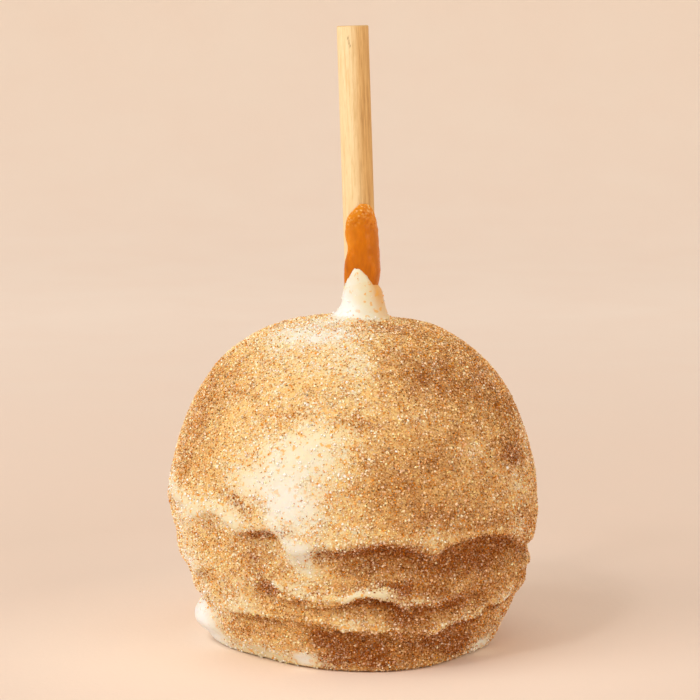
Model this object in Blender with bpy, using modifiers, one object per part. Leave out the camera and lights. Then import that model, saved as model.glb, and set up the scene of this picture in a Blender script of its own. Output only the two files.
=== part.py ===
"""A caramel apple on a stick, dipped in white chocolate and rolled in cinnamon sugar.

Metres, +Z up, -Y is the front. The origin is on the table, under the middle of the part.
Three pieces: the wooden stick, the caramel that climbed it, and the coated apple. The apple
is a turned profile whose points are then moved by functions of azimuth and height, which
give the lip its drips and arches and the folds below it their waves.
Azimuths are in degrees: 0 is the front, and 90 is the right-hand side.
"""

import math

import bmesh
import bpy
import numpy as np
from mathutils import Vector, noise

MM = 0.001

# Driving sizes
APPLE_WIDTH = 78.0 * MM  # across the coating
SHOULDER_HEIGHT = 70.0 * MM  # the table to the top of the dome
TOTAL_HEIGHT = 129.6 * MM  # the table to the tip of the stick
STICK_WIDTH = 6.6 * MM
STICK_LEAN = math.radians(1.9)  # the tip leans to the left

# The coating's levels
WIDEST_HEIGHT = 28.4 * MM
DOME_POWER = 2.28  # 2 is an ellipse, and more is squarer at the shoulder
TAPER, TAPER_POWER = 0.225, 1.3  # how much it narrows from there to the table, and how late
LIP_HEIGHT = 27.0 * MM  # where the thick upper coat ends
LIP_FLARE, LIP_RECESS = 0.6 * MM, 1.6 * MM  # how far it stands out there, and hangs over
FLARE_FADE = 5.0 * MM  # how fast the flare dies away above
UPPER_FOLD_HEIGHT = 17.0 * MM
LOWER_FOLD_HEIGHT = 9.2 * MM
BASE_WIDTH = 58.0 * MM  # the flat it stands on
COLLAR_TOP = 79.4 * MM  # how far the coat climbs the stick, at its highest

# The stick's hole
CLEARANCE = 0.3 * MM
STICK_RADIUS = STICK_WIDTH / 2
HOLE_RADIUS = STICK_RADIUS + CLEARANCE
HOLE_BOTTOM = 24.0 * MM

COLUMNS = 116  # turned steps
FRONT_CLOSENESS = 0.35  # how much closer they stand at the front, where the edge is most broken
DOME_ROWS = 15

# The edge of the thick coat, with its drips and the arches between them, all the way
# round: (azimuth, height in mm, share of the full overhang)
LIP_EDGE = (
    (-92, 29.8, 0.3),
    (-76, 31.6, 0.7),
    (-65, 32.0, 0.8),
    (-58, 29.3, 0.6),
    (-53, 31.0, 1.0),
    (-47, 32.0, 1.1),
    (-42, 30.6, 0.9),
    (-37, 28.4, 0.7),
    (-32, 29.6, 1.1),
    (-24, 30.0, 1.3),
    (-20, 24.6, 0.9),
    (-16, 25.7, 1.0),
    (-10, 27.1, 1.3),
    (-4, 26.3, 1.2),
    (8, 27.6, 1.4),
    (15, 26.8, 1.2),
    (24, 24.7, 0.8),
    (31, 26.9, 1.2),
    (44, 27.8, 1.4),
    (55, 26.4, 1.3),
    (66, 23.2, 1.1),
    (84, 21.8, 1.1),
    (100, 24.4, 1.0),
    (114, 25.6, 1.1),
    (126, 22.6, 0.8),
    (140, 27.0, 1.2),
    (154, 28.0, 1.2),
    (166, 25.2, 0.8),
    (178, 26.8, 1.1),
    (190, 27.2, 1.1),
    (203, 23.8, 0.8),
    (216, 28.0, 1.2),
    (232, 29.4, 1.1),
    (246, 26.4, 0.7),
    (257, 29.6, 0.9),
)
# How much of that overhang is left further down the hollow: (height in mm, share)
HOLLOW = ((23.4, 0.85), (21.4, 0.55), (19.6, 0.2))
# The folds under it, where the coat slid and wrinkled: (azimuth, height in mm, depth)
UPPER_FOLD = (
    (-160, 17.5, 0.6),
    (-120, 18.6, 1.0),
    (-85, 18.4, 0.4),
    (-50, 18.0, 0.3),
    (-34, 17.2, 0.5),
    (-23, 15.8, 1.3),
    (-12, 14.5, 1.6),
    (-3, 14.9, 1.7),
    (5, 16.6, 1.8),
    (11, 17.2, 1.5),
    (17, 15.4, 1.4),
    (29, 15.2, 0.9),
    (42, 17.4, 0.3),
    (84, 17.2, 0.3),
    (115, 17.6, 0.8),
    (150, 16.2, 1.1),
)
LOWER_FOLD = (
    (-150, 9.6, 0.8),
    (-110, 11.0, 0.4),
    (-75, 10.0, 0.2),
    (-46, 9.8, 0.8),
    (-38, 10.3, 1.1),
    (-29, 11.6, 1.1),
    (-16, 11.0, 1.1),
    (-7, 10.6, 1.7),
    (0, 8.4, 1.9),
    (10, 8.3, 1.4),
    (21, 6.5, 1.3),
    (34, 6.9, 1.6),
    (46, 7.9, 1.6),
    (58, 9.8, 1.5),
    (72, 12.0, 1.5),
    (90, 12.6, 1.2),
    (130, 10.2, 1.0),
    (170, 8.8, 0.9),
)
# The collar's edge on the stick: (azimuth, height in mm, share of its full thickness)
COLLAR_EDGE = (
    (-90, 74.4, 0.5),
    (-40, 77.2, 0.7),
    (-8, 79.4, 0.9),
    (20, 78.6, 1.0),
    (42, 75.9, 1.0),
    (90, 75.6, 1.0),
    (150, 76.4, 1.0),
    (200, 74.2, 0.8),
    (235, 75.8, 0.6),
)
# Where bare white chocolate ran out at the foot: azimuth, height, half width in degrees,
# half height and depth, in mm
FOOT_DRIPS = (
    (-84, 5.2, 13, 4.0, 1.6),
    (-112, 3.4, 12, 2.6, 1.6),
    (68, 2.0, 9, 1.6, 0.9),
    (148, 2.2, 16, 2.0, 1.5),
)
# Broad hollows and swellings of the whole body: azimuth, height and half sizes, depth in mm
SWELLINGS = (
    (-88, 30, 26, 5, 0.4),
    (-90, 50, 32, 10, -0.4),
    (-84, 11, 36, 6, -0.8),
    (-45, 0, 31, 4, -3.5),
    (16, 0, 24, 5, 1.0),
    (57, 0, 24, 4, -1.6),
    (88, 15, 34, 6, 1.1),
    (92, 49, 30, 8, -0.4),
    (-18, 19.8, 11, 1.1, 0.9),
    (-29, 17.4, 4, 1.6, -0.8),
    (-8, 6.4, 8, 2.2, -1.0),
    (28, 20, 16, 3, 0.5),
    (180, 40, 30, 12, -0.6),
)
LUMP_SIZE, LUMP_DEPTH = 17.0 * MM, 0.3 * MM
CRUST_SIZE, CRUST_DEPTH = 3.2 * MM, 0.2 * MM  # the sugar's uneven crust

# The caramel that shows between the collar and the bare stick
CARAMEL_TOP = 93.1 * MM
CARAMEL_COLUMNS, CARAMEL_ROWS = 26, 16
CARAMEL_THICKNESS = 0.8 * MM
CARAMEL_THIN = 0.32  # share of that at its edges
# Its left and right edges: (share of the way up, left azimuth, right azimuth)
CARAMEL_SIDES = (
    (0.00, -72, 168),
    (0.10, -50, 156),
    (0.20, -46, 148),
    (0.30, -30, 142),
    (0.40, -28, 146),
    (0.52, -42, 138),
    (0.66, -38, 128),
    (0.80, -27, 112),
    (0.92, -10, 88),
    (1.00, 6, 48),
)


def round_table(points, column):
    """A smooth closed curve through a table's values, as a function of azimuth."""
    azimuths = np.array([row[0] for row in points], float)
    values = np.array([row[column] for row in points], float)
    azimuths = np.concatenate([azimuths, [azimuths[0] + 360]])
    values = np.concatenate([values, [values[0]]])

    def at(azimuth):
        turned = azimuths[0] + (azimuth - azimuths[0]) % 360
        i = min(int(np.searchsorted(azimuths, turned, "right")) - 1, len(azimuths) - 2)
        share = (turned - azimuths[i]) / (azimuths[i + 1] - azimuths[i])
        share = share * share * (3 - 2 * share)
        return values[i] * (1 - share) + values[i + 1] * share

    return at


def body_radius(height):
    """The smooth body, without its lip and folds."""
    if height > WIDEST_HEIGHT:
        share = min(1, (height - WIDEST_HEIGHT) / (SHOULDER_HEIGHT - WIDEST_HEIGHT))
        return APPLE_WIDTH / 2 * (1 - share**DOME_POWER) ** (1 / DOME_POWER)
    share = min(1, (WIDEST_HEIGHT - height) / WIDEST_HEIGHT)
    return APPLE_WIDTH / 2 * (1 - TAPER * share**TAPER_POWER)


def dome_points():
    """The dome from beside the collar down to just above the lip, evenly along its arc."""
    angles = np.linspace(0.15, 1.52, 200)
    half_height = SHOULDER_HEIGHT - WIDEST_HEIGHT
    heights = WIDEST_HEIGHT + half_height * np.cos(angles) ** (2 / DOME_POWER)
    flare = LIP_FLARE * np.exp((LIP_HEIGHT - heights) / FLARE_FADE)
    radii = APPLE_WIDTH / 2 * np.sin(angles) ** (2 / DOME_POWER) + flare
    steps = np.hypot(np.diff(radii), np.diff(heights))
    along = np.concatenate([[0], np.cumsum(steps)])
    wanted = np.linspace(0, along[-1], DOME_ROWS)
    return list(zip(np.interp(wanted, along, radii), np.interp(wanted, along, heights)))


def step_points(height, above, below, drop):
    """A coat's rounded edge, which hangs a little over what is under it.
    above and below are how far each side stands out from the smooth body."""
    nose = body_radius(height) + above
    recess = body_radius(height) + below
    return [
        (nose - 0.02 * drop, height + 1.1 * drop),
        (nose, height + 0.35 * drop),
        (nose - 0.25 * (nose - recess), height - 0.12 * drop),
        (recess + 0.25 * (nose - recess), height - 0.1 * drop),
        (recess, height - 0.6 * drop),
        (recess + 0.1 * MM, height - 1.5 * drop),
    ]


def apple_profile():
    """The turned section, from the bottom of the stick's hole up, over and down to the base."""
    hole = [
        (0, HOLE_BOTTOM),
        (HOLE_RADIUS, HOLE_BOTTOM),
        (HOLE_RADIUS, 0.5 * (HOLE_BOTTOM + SHOULDER_HEIGHT)),
        (HOLE_RADIUS, SHOULDER_HEIGHT),
    ]
    collar = [
        (HOLE_RADIUS, COLLAR_TOP - 0.2 * MM),
        (HOLE_RADIUS + 0.35 * MM, COLLAR_TOP),
        (HOLE_RADIUS + 0.75 * MM, COLLAR_TOP - 0.9 * MM),
        (HOLE_RADIUS + 1.1 * MM, COLLAR_TOP - 4.2 * MM),
        (HOLE_RADIUS + 1.4 * MM, COLLAR_TOP - 7.6 * MM),
        (HOLE_RADIUS + 2.2 * MM, COLLAR_TOP - 9.2 * MM),
    ]
    lip = step_points(LIP_HEIGHT, LIP_FLARE, -LIP_RECESS, 1.6 * MM)
    upper_fold = step_points(UPPER_FOLD_HEIGHT, 0.8 * MM, -0.8 * MM, 1.5 * MM)
    lower_fold = step_points(LOWER_FOLD_HEIGHT, 0.7 * MM, -0.8 * MM, 1.2 * MM)
    foot = [
        (body_radius(4.6 * MM), 4.6 * MM),
        (body_radius(2.6 * MM), 2.6 * MM),
        (BASE_WIDTH / 2 + 1.1 * MM, 1.2 * MM),
        (BASE_WIDTH / 2 + 0.7 * MM, 0.4 * MM),
        (BASE_WIDTH / 2, 0),
        (0, 0),
    ]
    hollow = [(body_radius(level * MM) - share * LIP_RECESS, level * MM) for level, share in HOLLOW]
    return hole + collar + dome_points() + lip + hollow + upper_fold + lower_fold + foot


def nearness(azimuth, height, bump):
    """How far up a bump's round hill this place is, from 0 to 1."""
    middle, level, half_width, half_height = bump[:4]
    turn = (azimuth - middle + 180) % 360 - 180
    rise = height / MM - level
    return math.exp(-((turn / half_width) ** 2) - (rise / half_height) ** 2)


def stick_offset(height):
    """How far to the right the stick's middle is at this height."""
    return (TOTAL_HEIGHT - height) * math.tan(STICK_LEAN) - 0.15 * MM


def shaped(point):
    """Where a point of the turned shape lies on the real, uneven apple."""
    radius, height = math.hypot(point.x, point.y), point.z
    turn = math.atan2(point.x, -point.y)
    turn -= FRONT_CLOSENESS * math.sin(turn)
    azimuth = math.degrees(turn)
    if radius < HOLE_RADIUS + 0.01 * MM and height > 0:
        height = min(height, COLLAR_HEIGHT(azimuth) * MM - 0.2 * MM)
        return Vector((stick_offset(height) + radius * math.sin(turn), -radius * math.cos(turn), height))

    lip = LIP_LEVEL(azimuth) * MM
    overhang = LIP_OVERHANG(azimuth)
    upper = UPPER_HEIGHT(azimuth) * MM
    lower = LOWER_HEIGHT(azimuth) * MM
    collar = COLLAR_HEIGHT(azimuth) * MM
    levels = (
        (0, 0, 0),
        (LOWER_FOLD_HEIGHT - 1.9 * MM, lower - 1.9 * MM, LOWER_DEPTH(azimuth)),
        (LOWER_FOLD_HEIGHT + 1.4 * MM, lower + 1.4 * MM, LOWER_DEPTH(azimuth)),
        (UPPER_FOLD_HEIGHT - 2.0 * MM, upper - 2.0 * MM, UPPER_DEPTH(azimuth)),
        (UPPER_FOLD_HEIGHT + 1.5 * MM, upper + 1.5 * MM, UPPER_DEPTH(azimuth)),
        (LIP_HEIGHT - 2.4 * MM, lip - 2.4 * MM, overhang),
        (LIP_HEIGHT + 1.8 * MM, lip + 1.8 * MM, overhang),
        (48.0 * MM, 48.0 * MM, 1),
        (SHOULDER_HEIGHT + 0.2 * MM, SHOULDER_HEIGHT + 0.2 * MM, 1),
        (COLLAR_TOP, collar, 1),
    )
    template = [level[0] for level in levels]
    moved = float(np.interp(height, template, [level[1] for level in levels]))
    share = float(np.interp(height, template, [level[2] for level in levels]))

    on_collar = radius < HOLE_RADIUS + 2 * MM and height > SHOULDER_HEIGHT
    if on_collar:
        radius = HOLE_RADIUS + (radius - HOLE_RADIUS) * COLLAR_THICKNESS(azimuth)
    if not on_collar and radius > 0.99 * BASE_WIDTH / 2:
        radius = body_radius(moved) + (radius - body_radius(height)) * share
        for bump in SWELLINGS + FOOT_DRIPS:
            radius += bump[4] * MM * nearness(azimuth, moved, bump)

    place = Vector((radius * math.sin(turn), -radius * math.cos(turn), moved))
    if 0.1 * MM < height and not on_collar:
        outward = Vector((place.x, place.y, max(0, moved - WIDEST_HEIGHT))).normalized()
        lump = noise.noise(place / LUMP_SIZE + Vector((3.1, 0.7, 5.2)))
        crust = noise.noise(place / CRUST_SIZE)
        place += outward * (LUMP_DEPTH * lump + CRUST_DEPTH * crust)
        place.z = max(place.z, 0.15 * MM)
    near_stick = min(1, max(0, 1 - (radius - 6 * MM) / (10 * MM))) if moved > WIDEST_HEIGHT else 0
    near_stick = near_stick * near_stick * (3 - 2 * near_stick)
    place.x += near_stick * stick_offset(moved)
    return place


LIP_LEVEL, LIP_OVERHANG = round_table(LIP_EDGE, 1), round_table(LIP_EDGE, 2)
UPPER_HEIGHT, UPPER_DEPTH = round_table(UPPER_FOLD, 1), round_table(UPPER_FOLD, 2)
LOWER_HEIGHT, LOWER_DEPTH = round_table(LOWER_FOLD, 1), round_table(LOWER_FOLD, 2)
COLLAR_HEIGHT, COLLAR_THICKNESS = round_table(COLLAR_EDGE, 1), round_table(COLLAR_EDGE, 2)


def material(name, colour, roughness):
    made = bpy.data.materials.new(name)
    made.use_nodes = True
    shader = made.node_tree.nodes["Principled BSDF"]
    shader.inputs["Base Color"].default_value = (*colour, 1)
    shader.inputs["Roughness"].default_value = roughness
    shader.inputs["Metallic"].default_value = 0
    return made


def new_object(name, mesh, finish, collection):
    made = bpy.data.objects.new(name, mesh)
    made.data.materials.clear()
    made.data.materials.append(finish)
    collection.objects.link(made)
    return made


def evaluated_mesh(obj):
    graph = bpy.context.evaluated_depsgraph_get()
    return bpy.data.meshes.new_from_object(obj.evaluated_get(graph))


def make_apple(collection):
    """Turns the profile, then moves its points to the uneven shape of the real coat."""
    profile = apple_profile()
    outline = bpy.data.meshes.new("profile")
    edges = [(i, i + 1) for i in range(len(profile) - 1)]
    outline.from_pydata([(radius, 0, height) for radius, height in profile], edges, [])
    turned = bpy.data.objects.new("turned", outline)
    collection.objects.link(turned)
    screw = turned.modifiers.new("turn", "SCREW")
    screw.steps = screw.render_steps = COLUMNS
    screw.use_merge_vertices = True
    screw.merge_threshold = 0.00001
    bpy.context.view_layer.update()

    mesh = evaluated_mesh(turned)
    bpy.data.objects.remove(turned)
    mesh.name = "coated_apple"
    for vertex in mesh.vertices:
        vertex.co = shaped(vertex.co)
    mesh.shade_smooth()
    return new_object(
        "coated_apple", mesh, material("cinnamon_sugar_on_white_chocolate", (0.62, 0.38, 0.19), 0.6), collection
    )


def make_stick(collection):
    """A round wooden rod with slightly broken edges, standing in the apple's hole."""
    foot = HOLE_BOTTOM + 2 * CLEARANCE
    length = (TOTAL_HEIGHT - foot) / math.cos(STICK_LEAN)
    bpy.ops.mesh.primitive_cylinder_add(vertices=36, radius=STICK_RADIUS, depth=length)
    stick = bpy.context.active_object
    stick.name = stick.data.name = "stick"
    for parent in stick.users_collection:
        parent.objects.unlink(stick)
    collection.objects.link(stick)
    stick.data.materials.append(material("birch_wood", (0.72, 0.52, 0.27), 0.55))
    middle = (TOTAL_HEIGHT + foot) / 2
    stick.location = (stick_offset(middle), 0, middle)
    stick.rotation_euler = (0, -STICK_LEAN, 0)
    edges = stick.modifiers.new("broken_edges", "BEVEL")
    edges.width = 0.25 * MM
    edges.segments = 2
    edges.limit_method = "ANGLE"
    stick.data.shade_smooth()
    stick.data.set_sharp_from_angle(angle=math.radians(40))
    return stick


def make_caramel(collection):
    """A grid bent round the stick into the smear's outline, then thickened outwards."""
    grid = bmesh.new()
    bmesh.ops.create_grid(grid, x_segments=CARAMEL_COLUMNS, y_segments=CARAMEL_ROWS, size=0.5)
    mesh = bpy.data.meshes.new("caramel")
    grid.to_mesh(mesh)
    grid.free()
    levels = [row[0] for row in CARAMEL_SIDES]
    thickness = {}
    for vertex in mesh.vertices:
        across, up = vertex.co.x + 0.5, vertex.co.y + 0.5
        left = np.interp(up, levels, [row[1] for row in CARAMEL_SIDES])
        right = np.interp(up, levels, [row[2] for row in CARAMEL_SIDES])
        azimuth = left * (1 - across) + right * across
        bottom = COLLAR_HEIGHT(azimuth) * MM + 1.5 * CLEARANCE
        height = bottom * (1 - up) + CARAMEL_TOP * up
        turn = math.radians(azimuth)
        radius = HOLE_RADIUS
        vertex.co = (
            stick_offset(height) + radius * math.sin(turn),
            -radius * math.cos(turn),
            height,
        )
        middle = (4 * across * (1 - across)) ** 0.35 * min(1, 6 * (1 - up)) ** 0.5
        swelling = 0.35 + 0.65 * (1 - up)
        thickness[vertex.index] = max(CARAMEL_THIN, middle * swelling)
    caramel = new_object("caramel", mesh, material("caramel", (0.62, 0.24, 0.03), 0.18), collection)
    group = caramel.vertex_groups.new(name="thickness")
    for index, weight in thickness.items():
        group.add([index], weight, "REPLACE")
    solid = caramel.modifiers.new("thicken", "SOLIDIFY")
    solid.thickness = CARAMEL_THICKNESS
    solid.offset = 1
    solid.vertex_group = group.name
    caramel.data.shade_smooth()
    return caramel


def stand_on_origin(parts):
    """Moves the parts together until the origin is under the middle of their box."""
    bpy.context.view_layer.update()
    graph = bpy.context.evaluated_depsgraph_get()
    corners = []
    for part in parts:
        evaluated = part.evaluated_get(graph)
        corners += [evaluated.matrix_world @ vertex.co for vertex in evaluated.to_mesh().vertices]
    for axis in (0, 1):
        values = [corner[axis] for corner in corners]
        for part in parts:
            part.location[axis] -= (min(values) + max(values)) / 2


def main():
    for obj in list(bpy.data.objects):
        bpy.data.objects.remove(obj)
    collection = bpy.data.collections.new("caramel_apple")
    bpy.context.scene.collection.children.link(collection)
    stand_on_origin([make_apple(collection), make_stick(collection), make_caramel(collection)])


main()
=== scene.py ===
# %% [markdown]
# # A caramel apple in white chocolate and cinnamon sugar
# An apple on a stick was dipped in caramel, then in white chocolate, and rolled in cinnamon sugar
# while the chocolate was soft. The plain solids of the apple, its caramel smear and its stick are
# already built. This lesson gives them their real surface: a crust that thins out to bare chocolate,
# tens of thousands of sugar crystals, glossy caramel and birch wood.

# %% Load the plain model
import math

import bmesh
import bpy
import numpy as np
from mathutils import Matrix, Vector, noise


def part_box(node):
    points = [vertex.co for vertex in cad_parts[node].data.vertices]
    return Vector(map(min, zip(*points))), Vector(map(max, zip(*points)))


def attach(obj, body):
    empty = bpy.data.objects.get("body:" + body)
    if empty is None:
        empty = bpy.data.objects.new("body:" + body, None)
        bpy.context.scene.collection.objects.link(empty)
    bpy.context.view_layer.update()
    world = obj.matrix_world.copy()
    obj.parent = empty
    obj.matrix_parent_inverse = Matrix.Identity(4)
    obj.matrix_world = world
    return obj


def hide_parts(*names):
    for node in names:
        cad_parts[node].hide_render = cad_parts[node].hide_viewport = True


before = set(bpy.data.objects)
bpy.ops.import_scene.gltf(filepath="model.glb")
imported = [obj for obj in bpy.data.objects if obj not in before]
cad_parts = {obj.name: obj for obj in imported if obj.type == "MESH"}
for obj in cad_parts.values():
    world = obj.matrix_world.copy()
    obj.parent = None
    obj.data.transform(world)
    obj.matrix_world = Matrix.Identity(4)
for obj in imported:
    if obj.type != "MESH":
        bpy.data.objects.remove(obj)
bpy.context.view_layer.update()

MM = 0.001
apple_low, apple_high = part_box("coated_apple")
print("nodes:", sorted(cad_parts), "apple's width:", round((apple_high.x - apple_low.x) / MM, 1))

# %% [markdown]
# ## The camera
# A long lens from half a metre away keeps the perspective flat. The camera stands at the height of
# the stick's tip and looks down a little, so that the floor shows under the apple and the cut end of
# the stick stays edge-on.

# %% Camera
CAMERA_DISTANCE = 520 * MM
CAMERA_HEIGHT = 129.8 * MM
CAMERA_PITCH = math.radians(7.45)  # downwards
CAMERA_LENS = 127.85  # mm, on a 36 mm sensor


def add_object(name, data):
    """Puts a mesh, a light or a camera in the scene."""
    made = bpy.data.objects.new(name, data)
    bpy.context.scene.collection.objects.link(made)
    return made


camera = add_object("camera", bpy.data.cameras.new("camera"))
camera.location = (-0.6 * MM, -CAMERA_DISTANCE, CAMERA_HEIGHT)
camera.rotation_euler = (math.pi / 2 - CAMERA_PITCH, 0, 0)
camera.data.lens = CAMERA_LENS
camera.data.clip_start = 10 * MM
camera.data.clip_end = 20
bpy.context.scene.camera = camera
print("camera at", tuple(round(v, 3) for v in camera.location))

# %% [markdown]
# ## Materials are built from nodes
# Every finish below is a tree of shader nodes. A few small helpers keep those trees readable: one
# places a node and fills its sockets by name, one mixes two colours, one does arithmetic, and one
# turns a value into a colour by a row of stops.

# %% Node helpers
def place(tree, kind, settings=None, **inputs):
    """Adds a shader node, sets its own settings, and fills or links its inputs by name."""
    made = tree.nodes.new("ShaderNode" + kind)
    for key, value in (settings or {}).items():
        setattr(made, key, value)
    for key, value in inputs.items():
        fill(tree, made.inputs[key.replace("_", " ")], value)
    return made


def fill(tree, socket, value):
    """Links another node's output to this socket, or sets the socket's own value."""
    if isinstance(value, bpy.types.NodeSocket):
        tree.links.new(value, socket)
    elif socket.type == "RGBA" and len(value) == 3:
        socket.default_value = (*value, 1)
    else:
        socket.default_value = value


def mix_colour(tree, share, first, second, way="MIX"):
    """first where share is 0, and second where it is 1."""
    made = tree.nodes.new("ShaderNodeMix")
    made.data_type = "RGBA"
    made.blend_type = way
    for index, value in ((0, share), (6, first), (7, second)):
        fill(tree, made.inputs[index], value)
    return made.outputs[2]


def sum_of(tree, operation, first, second=0.0, third=0.0):
    """One step of arithmetic on values, kept between 0 and 1 where operation ends in +."""
    made = tree.nodes.new("ShaderNodeMath")
    made.operation = operation.rstrip("+")
    made.use_clamp = operation.endswith("+")
    for index, value in enumerate((first, second, third)):
        fill(tree, made.inputs[index], value)
    return made.outputs[0]


def colour_stops(tree, value, stops):
    """A colour for each value from 0 to 1, blended between (position, colour) stops."""
    made = place(tree, "ValToRGB", Fac=value)
    row = made.color_ramp.elements
    for position, colour in stops[1:-1]:
        row.new(position)
    for element, (position, colour) in zip(row, stops):
        element.position, element.color = position, (*colour, 1)
    return made.outputs["Color"]


def painted_value(tree, name):
    """Reads a value that was stored on the mesh's points."""
    return place(tree, "Attribute", {"attribute_name": name}).outputs["Fac"]


def new_material(name):
    """An empty material and its Principled shader."""
    made = bpy.data.materials.new(name)
    made.use_nodes = True
    return made, made.node_tree, made.node_tree.nodes["Principled BSDF"]


def dress(tree, shader, colour, roughness, height, strength, depth, **constants):
    """Gives a shader its colour, roughness, relief of that depth in mm, and plain values."""
    fill(tree, shader.inputs["Base Color"], colour)
    fill(tree, shader.inputs["Roughness"], roughness)
    bump = place(tree, "Bump", Strength=strength, Distance=depth * MM, Height=height)
    fill(tree, shader.inputs["Normal"], bump.outputs["Normal"])
    for name, value in constants.items():
        shader.inputs[name.replace("_", " ")].default_value = value


print("node helpers are ready")

# %% [markdown]
# ## Blotches, an effect that all finishes share
# Real surfaces are never even, so every finish here needs soft blotches. The effect is a node group,
# built once with named sockets and then placed in the materials with its own sizes. Sizes are in
# millimetres, which is easier to judge than a texture's scale.

# %% Node group: blotches
def new_group(name, sockets_in, sockets_out):
    """An empty shader node group with named sockets: (name, default) in, and names out."""
    group = bpy.data.node_groups.new(name, "ShaderNodeTree")
    for label, default in sockets_in:
        socket = group.interface.new_socket(label, in_out="INPUT", socket_type="NodeSocketFloat")
        socket.default_value = default
    for label in sockets_out:
        group.interface.new_socket(label, in_out="OUTPUT", socket_type="NodeSocketFloat")
    return group, group.nodes.new("NodeGroupInput"), group.nodes.new("NodeGroupOutput")


def blotch_group():
    """Soft noise from 0 to 1: Size in mm, Detail in octaves, Stretch along Z, Contrast."""
    group, given, result = new_group(
        "blotches",
        (("Size", 2.0), ("Detail", 2.0), ("Stretch", 1.0), ("Contrast", 1.0)),
        ("Value",),
    )
    where = place(group, "TexCoord").outputs["Object"]
    along = place(group, "CombineXYZ", X=1.0, Y=1.0,
                  Z=sum_of(group, "DIVIDE", 1.0, given.outputs["Stretch"]))
    squeezed = place(group, "Mapping", Vector=where, Scale=along.outputs[0])
    scale = sum_of(group, "DIVIDE", 1 / MM, given.outputs["Size"])
    cloud = place(group, "TexNoise", Vector=squeezed.outputs[0], Scale=scale,
                  Detail=given.outputs["Detail"])
    centred = sum_of(group, "SUBTRACT", cloud.outputs["Fac"], 0.5)
    value = sum_of(group, "MULTIPLY_ADD+", centred, given.outputs["Contrast"], 0.5)
    group.links.new(value, result.inputs["Value"])
    return group


BLOTCHES = blotch_group()


def blotches(tree, size, detail=2.0, stretch=1.0, contrast=1.0):
    made = place(tree, "Group", {"node_tree": BLOTCHES},
                 Size=size, Detail=detail, Stretch=stretch, Contrast=contrast)
    return made.outputs["Value"]


print(BLOTCHES.name, "are ready")

# %% [markdown]
# ## Granules, for the powder
# Sugar dust is packed grains. Voronoi cells give each grain a domed height, and two random values of
# its own, so that its colour can differ from its neighbours'.

# %% Node group: granules
def granule_group():
    """Small packed cells, Size mm across: Height is domed, and Chance and Luck differ by cell."""
    group, given, result = new_group("granules", (("Size", 0.5),), ("Height", "Chance", "Luck"))
    where = place(group, "TexCoord").outputs["Object"]
    scale = sum_of(group, "DIVIDE", 1 / MM, given.outputs["Size"])
    cells = place(group, "TexVoronoi", Vector=where, Scale=scale)
    height = sum_of(group, "SUBTRACT+", 1.0, cells.outputs["Distance"])
    split = place(group, "SeparateColor", Color=cells.outputs["Color"])
    group.links.new(height, result.inputs["Height"])
    group.links.new(split.outputs[0], result.inputs["Chance"])
    group.links.new(split.outputs[1], result.inputs["Luck"])
    return group


GRANULES = granule_group()
print(GRANULES.name, "are ready")

# %% [markdown]
# ## Floor, backdrop and light
# The apple stands on pale peach paper. One bowl of revolution is both floor and backdrop, so it has
# no corner and looks the same from every side. It stays far enough away that a camera walking round
# the apple is always inside it. Light is painted into the paper's colour: it is brightest round the
# apple's foot, a painted pool of light, a little deeper in tone farther out, a painted shade, and pale
# again behind.

# %% Floor and backdrop
# radius and height of the bowl's section, in metres
BOWL_PROFILE = ((0.0, 0.0), (0.75, 0.0), (0.92, 0.02), (1.05, 0.09), (1.14, 0.22), (1.19, 0.42),
                (1.2, 0.55))
BOWL_SIDES = 96
# the tones hold painted light: brightest round the apple's foot, a painted pool of light, and painted
# shade in a ring farther out
PAPER_TONES_AND_LIGHT = (  # distance from the apple in metres, colour
    (0.045, (0.92, 0.77, 0.65)), (0.085, (0.78, 0.64, 0.54)), (0.13, (0.75, 0.61, 0.51)),
    (0.25, (0.8, 0.66, 0.56)), (0.6, (0.95, 0.84, 0.75)), (0.85, (0.95, 0.84, 0.75)),
    (1.08, (0.9, 0.785, 0.68)), (1.5, (0.9, 0.785, 0.68)),
)


def make_paper():
    paper, tree, shader = new_material("peach_paper")
    where = place(tree, "TexCoord").outputs["Object"]
    reach = place(tree, "VectorMath", {"operation": "LENGTH"}, Vector=where)
    farthest = PAPER_TONES_AND_LIGHT[-1][0]
    away = sum_of(tree, "DIVIDE+", reach.outputs["Value"], farthest)
    tone = colour_stops(tree, away, [(at / farthest, colour) for at, colour in PAPER_TONES_AND_LIGHT])
    cloudy = sum_of(tree, "MULTIPLY", blotches(tree, 45.0, 3.0, contrast=1.6), 0.16)
    tone = mix_colour(tree, cloudy, tone, (0.86, 0.62, 0.5))
    # painted shade: behind the lamps the paper is painted darker, or it would burn out
    front = place(tree, "SeparateXYZ", Vector=where).outputs["Y"]
    painted_shade_behind_lamps = sum_of(tree, "MULTIPLY_ADD+", front, -2.0, -0.5)
    tone = mix_colour(tree, painted_shade_behind_lamps, tone, (0.7, 0.6, 0.52))
    rough = sum_of(tree, "MULTIPLY_ADD", blotches(tree, 20.0), 0.1, 0.85)
    dress(tree, shader, tone, rough, blotches(tree, 1.2, 4.0), strength=0.25, depth=0.2)
    return paper


def make_bowl():
    outline = bpy.data.meshes.new("paper_bowl")
    edges = [(i, i + 1) for i in range(len(BOWL_PROFILE) - 1)]
    outline.from_pydata([(radius, 0, height) for radius, height in BOWL_PROFILE], edges, [])
    bowl = add_object("paper_bowl", outline)
    turn = bowl.modifiers.new("turn", "SCREW")
    turn.steps = turn.render_steps = BOWL_SIDES
    turn.use_merge_vertices = True
    turn.merge_threshold = 0.0001
    turn.use_normal_flip = True
    smooth = bowl.modifiers.new("smooth", "SUBSURF")
    smooth.levels = smooth.render_levels = 2
    outline.materials.append(make_paper())
    return bowl


bowl = make_bowl()
print("backdrop:", BOWL_PROFILE[-1][0], "m in radius")

# %% [markdown]
# ## Light
# One big soft box stands at the upper left front, and a weak broad one on the right, under an even
# warm sky. A third lamp is small and weak: its reflection is what makes each crystal glint.

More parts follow.
